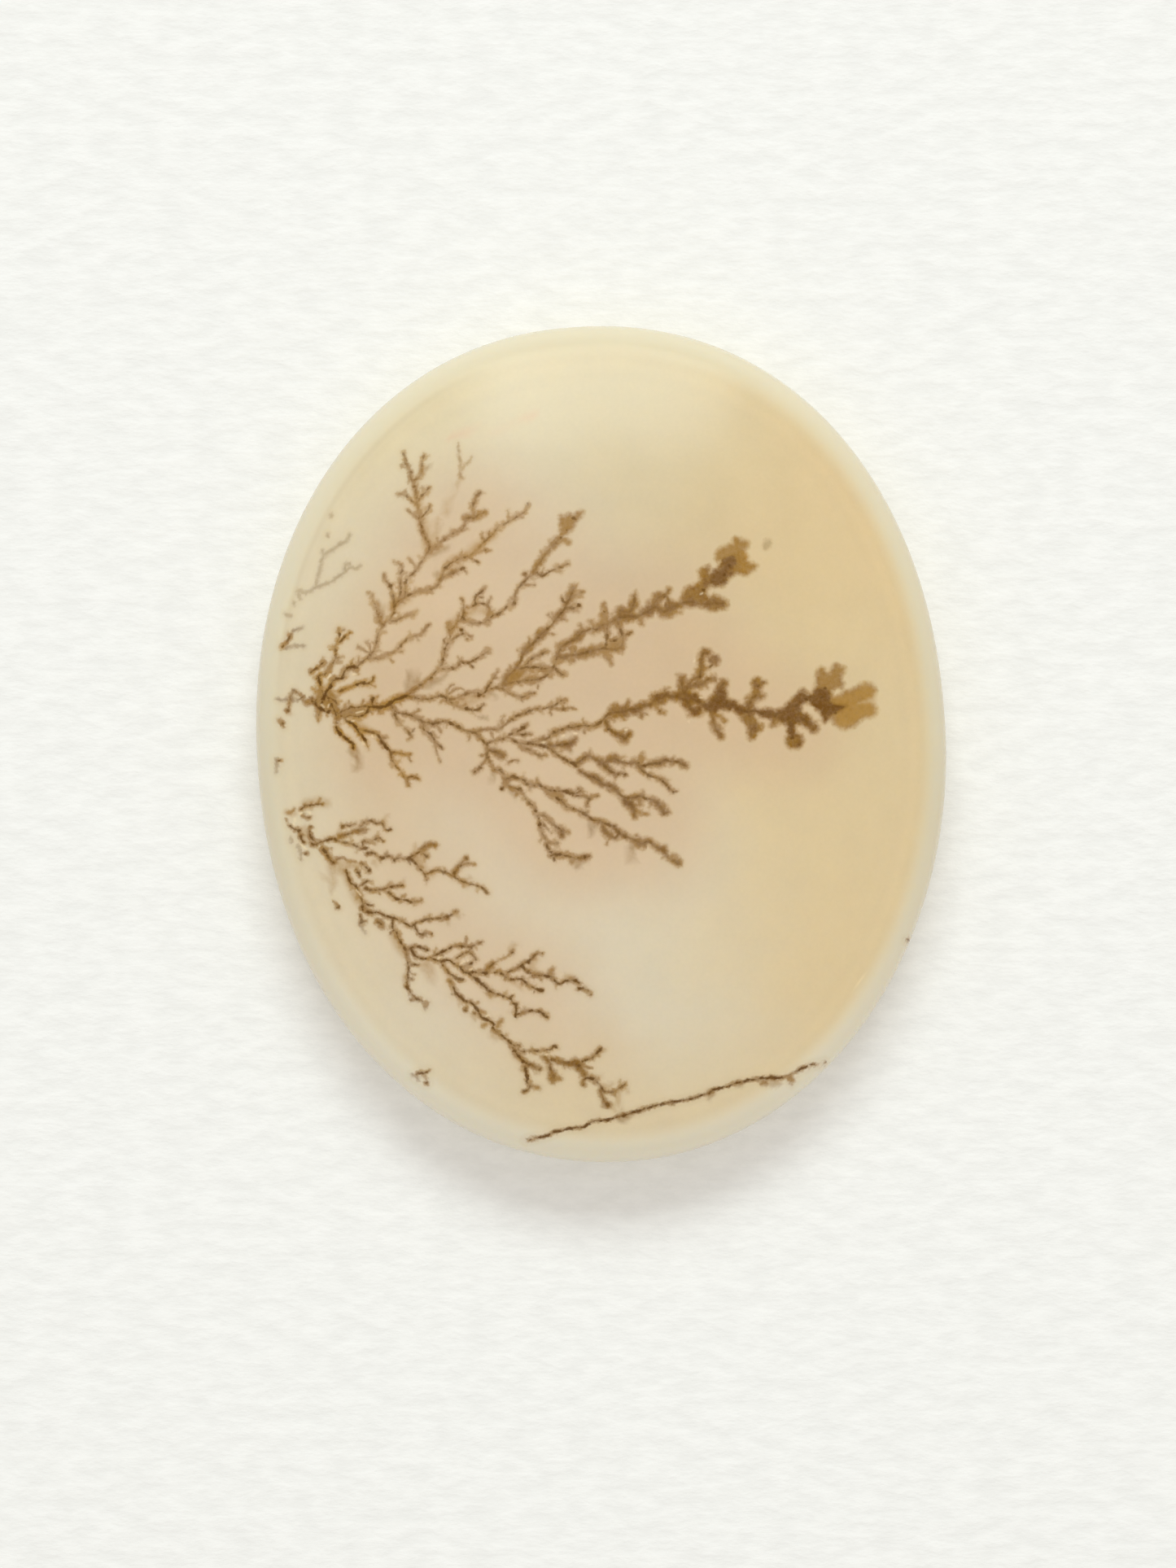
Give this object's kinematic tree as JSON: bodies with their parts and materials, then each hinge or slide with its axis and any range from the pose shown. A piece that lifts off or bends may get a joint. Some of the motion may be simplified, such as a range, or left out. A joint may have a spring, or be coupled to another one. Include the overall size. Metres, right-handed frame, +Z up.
{
  "type": "dendritic agate cabochon",
  "caption": "Polished oval stone of milky agate with brown fern-like dendrites inside, a flat back, a narrow rim and a low dome, for setting in jewellery or display.",
  "frame": {"origin": "on the flat back, under the middle of the stone's outline", "axes": "+Y along the stone's length, towards the top of the picture; +X across it, to the picture's right; +Z up from the flat back to the dome"},
  "size_m": [0.0182, 0.022, 0.0043],
  "materials": {
    "agate": "polished milky chalcedony, cream to honey, with fern-like dendrites in dark to golden brown"
  },
  "bodies": {
    "root": {"stone": "agate"}
  },
  "joints": []
}
